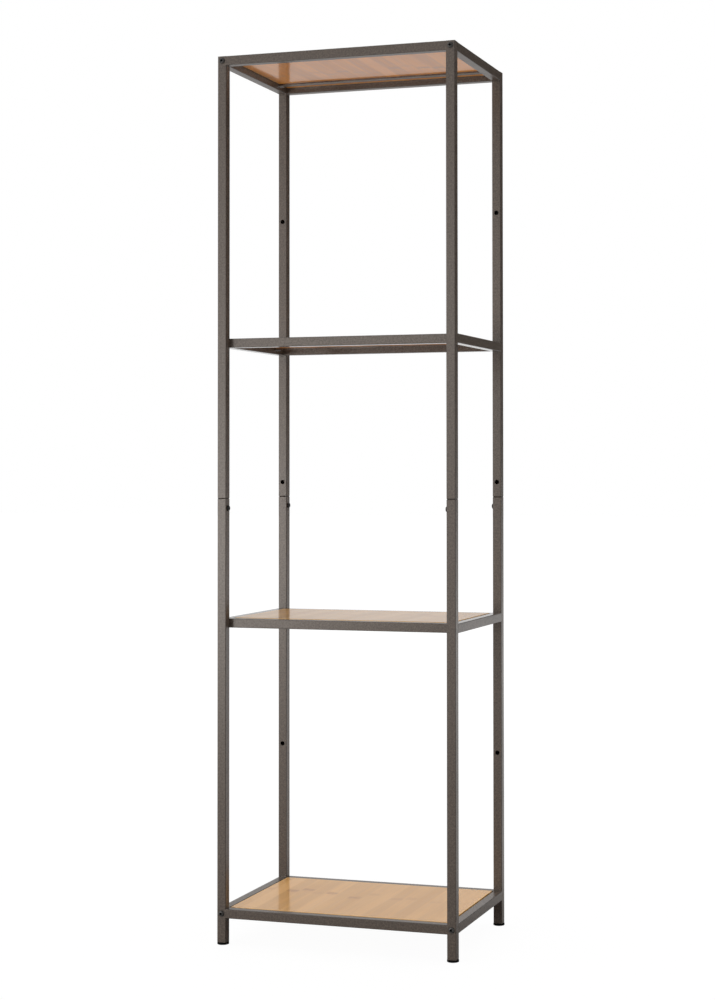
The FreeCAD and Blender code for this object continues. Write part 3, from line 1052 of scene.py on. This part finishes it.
@dataclass(frozen=True)
class Viewpoint:
    """Where the camera stands and how it frames the unit."""

    position: tuple[float, float, float] = (1.24114, -3.35947, 0.85247)
    yaw: float = 17.349
    pitch: float = 1.1306
    roll: float = -0.0941
    focal_px: float = 1940.52
    centre_px: tuple[float, float] = (462.74, 430.70)
    frame_px: tuple[int, int] = (715, 1000)
    film: float = 36.0
    sight: float = 60.0

    def make(self) -> None:
        """Create the camera and make it the scene's own."""
        bpy.ops.object.camera_add(location=self.position)
        camera = bpy.context.object
        camera.name = "camera"
        width, height = self.frame_px
        turn = (Matrix.Rotation(math.radians(self.yaw), 3, "Z")
                @ Matrix.Rotation(math.radians(90 + self.pitch), 3, "X")
                @ Matrix.Rotation(math.radians(self.roll), 3, "Z"))
        camera.rotation_euler = turn.to_euler()
        camera.data.sensor_width = self.film
        camera.data.lens = self.focal_px * self.film / height
        camera.data.shift_x = (width / 2 - self.centre_px[0]) / height
        camera.data.shift_y = (self.centre_px[1] - height / 2) / height
        camera.data.clip_end = self.sight
        bpy.context.scene.camera = camera


@dataclass(frozen=True)
class SoftBox:
    """A soft lamp that looks at a point."""

    name: str
    position: tuple[float, float, float]
    target: tuple[float, float, float]
    width: float
    height: float
    power: float
    colour: Colour = WHITE

    def make(self) -> None:
        """Create the lamp."""
        bpy.ops.object.light_add(type="AREA", location=self.position)
        lamp = bpy.context.object
        lamp.name = self.name
        lamp.data.shape = "RECTANGLE"
        lamp.data.size = self.width
        lamp.data.size_y = self.height
        lamp.data.energy = self.power
        lamp.data.color = self.colour
        aim = Vector(self.target) - Vector(self.position)
        lamp.rotation_euler = aim.to_track_quat("-Z", "Y").to_euler()
        lamp.visible_camera = False


@dataclass(frozen=True)
class GlowWall:
    """A soft patch of light on the studio's far walls or ceiling.

    The azimuth is counted from +Y towards +X. The edge holds the cosines of the angles from the
    patch's middle at which the light starts and is full.
    """

    azimuth: float
    elevation: float
    strength: float
    edge: Span = (0.643, 0.966)

    def glow(self, shade: Shade, direction: bpy.types.NodeSocket) -> Value:
        """Light the patch.

        Args:
            shade: the world's node tree.
            direction: the direction looked in.

        Returns:
            How bright the patch is in that direction.
        """
        turn = math.radians(self.azimuth)
        rise = math.radians(self.elevation)
        middle = (math.sin(turn) * math.cos(rise), math.cos(turn) * math.cos(rise), math.sin(rise))
        near = shade.node("ShaderNodeVectorMath", {"operation": "DOT_PRODUCT"}, {0: direction, 1: middle})
        return shade.smooth(Value(shade, near.outputs["Value"]), *self.edge, 0.0, self.strength)


@dataclass(frozen=True)
class Studio:
    """Plain pale floor, white backdrop, softly lit walls and lamps."""

    floor_size: float = 60.0
    floor_level: float = -0.0002
    floor_colour: Colour = (0.45, 0.45, 0.45)
    floor_glow: float = 1.075
    # How white the floor is at the unit and far from it, and the distances that this lies between.
    floor_white: Span = (0.90, 0.98)
    white_reach: Span = (0.8, 3.0)
    # The floor in the unit's mirror-like surfaces: distances from and to which each step is added.
    floor_gleam: tuple[tuple[float, float, float], ...] = (
        (0.35, 0.70, 0.56), (2.0, 4.0, -0.12), (9.0, 13.0, 0.54))
    gleam_side: Span = (-0.4, 0.6)
    backdrop: GlowWall = GlowWall(-25.0, 4.0, 0.58, (0.86, 0.985))
    walls: tuple[GlowWall, ...] = (
        GlowWall(-17.0, 3.5, 0.19, (0.984, 0.998)),
        GlowWall(90.0, 10.0, 0.90),
        GlowWall(225.0, 10.0, 1.0),
        GlowWall(270.0, 10.0, 0.5),
        GlowWall(350.0, 70.0, 1.35, (0.5, 0.94)),
    )
    lamps: tuple[SoftBox, ...] = (
        SoftBox("key", (-1.85, -3.4, 0.55), (0.0, 0.0, 0.72), 0.6, 0.6, 24.5, (1.0, 0.955, 0.905)),
        SoftBox("front", (-0.7, -2.2, 1.35), (0.0, 0.0, 1.15), 1.0, 0.8, 5.0, (1.0, 0.955, 0.905)),
        SoftBox("back_low", (1.4, 3.0, 0.13), (0.0, 0.0, 0.30), 2.0, 0.5, 1.9),
    )

    def make(self) -> None:
        """Build the floor, the surroundings and the lamps."""
        self._floor()
        self._surroundings()
        for lamp in self.lamps:
            lamp.make()

    def _floor(self) -> None:
        """Lay a pale floor that looks white and keeps the unit's shadow."""
        bpy.ops.mesh.primitive_plane_add(size=self.floor_size, location=(0.0, 0.0, self.floor_level))
        floor = bpy.context.object
        floor.name = "floor"
        shade, made = Shade.material("pale_floor")
        camera, glossy, through = self._paths(shade)
        place = shade.coordinates()
        length = shade.node("ShaderNodeVectorMath", {"operation": "LENGTH"}, {0: place})
        away = Value(shade, length.outputs["Value"])
        bare = shade.smooth(away, *self.white_reach, *self.floor_white)
        white = (shade.math("ADD", camera, through, clamp=True) * bare
                 + glossy * self._gleam(shade, place, away))
        matt = shade.node("ShaderNodeBsdfDiffuse", inputs={"Color": self.floor_colour})
        glow = shade.node("ShaderNodeEmission", inputs={"Color": WHITE, "Strength": self.floor_glow})
        both = shade.node("ShaderNodeMixShader",
                          inputs={0: white, 1: matt.outputs[0], 2: glow.outputs[0]})
        shade.node("ShaderNodeOutputMaterial", inputs={"Surface": both.outputs[0]})
        floor.data.materials.append(made)

    def _gleam(self, shade: Shade, place: bpy.types.NodeSocket, away: Value) -> Value:
        """Brighten the floor behind the unit where glossy surfaces mirror it.

        Args:
            shade: the floor's node tree.
            place: where the floor is mirrored.
            away: distance of that place from the unit's middle.

        Returns:
            The share of the floor's glow.
        """
        behind = shade.smooth(shade.split(place)[1], *self.gleam_side)
        rings = [shade.smooth(away, start, full, 0.0, step) for start, full, step in self.floor_gleam]
        return behind * (rings[0] + rings[1] + rings[2])

    def _surroundings(self) -> None:
        """Make the world white where it is seen and lit in patches elsewhere."""
        world = bpy.data.worlds.new("studio")
        bpy.context.scene.world = world
        world.use_nodes = True
        shade = Shade(world.node_tree)
        camera, _, through = self._paths(shade)
        direction = shade.coordinates("Generated")
        seen = shade.math("ADD", camera, through, clamp=True)
        light = self.backdrop.glow(shade, direction)
        for wall in self.walls:
            light = light + wall.glow(shade, direction)
        strength = seen + (1.0 - seen) * light
        glow = shade.node("ShaderNodeBackground", inputs={"Color": WHITE, "Strength": strength})
        shade.node("ShaderNodeOutputWorld", inputs={"Surface": glow.outputs[0]})

    @staticmethod
    def _paths(shade: Shade) -> tuple[Value, Value, Value]:
        """Return 1 for camera rays, for glossy rays and for transmission rays."""
        paths = shade.node("ShaderNodeLightPath").outputs
        return tuple(Value(shade, paths[f"Is {kind} Ray"]) for kind in ("Camera", "Glossy", "Transmission"))


# ------------------------------------------------------------------ building it all

def main() -> None:
    """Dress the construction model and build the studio."""
    bpy.context.scene.view_settings.view_transform = "Standard"
    bpy.ops.object.select_all(action="DESELECT")
    finishes = Finishes()
    finishes.dress_frame()
    for assembly in (SeamFills(finishes), PostCaps(finishes), ThreadedStuds(finishes)):
        assembly.make()
    Viewpoint().make()
    Studio().make()


if __name__ == "__main__":
    logging.basicConfig(level=logging.INFO)
    main()
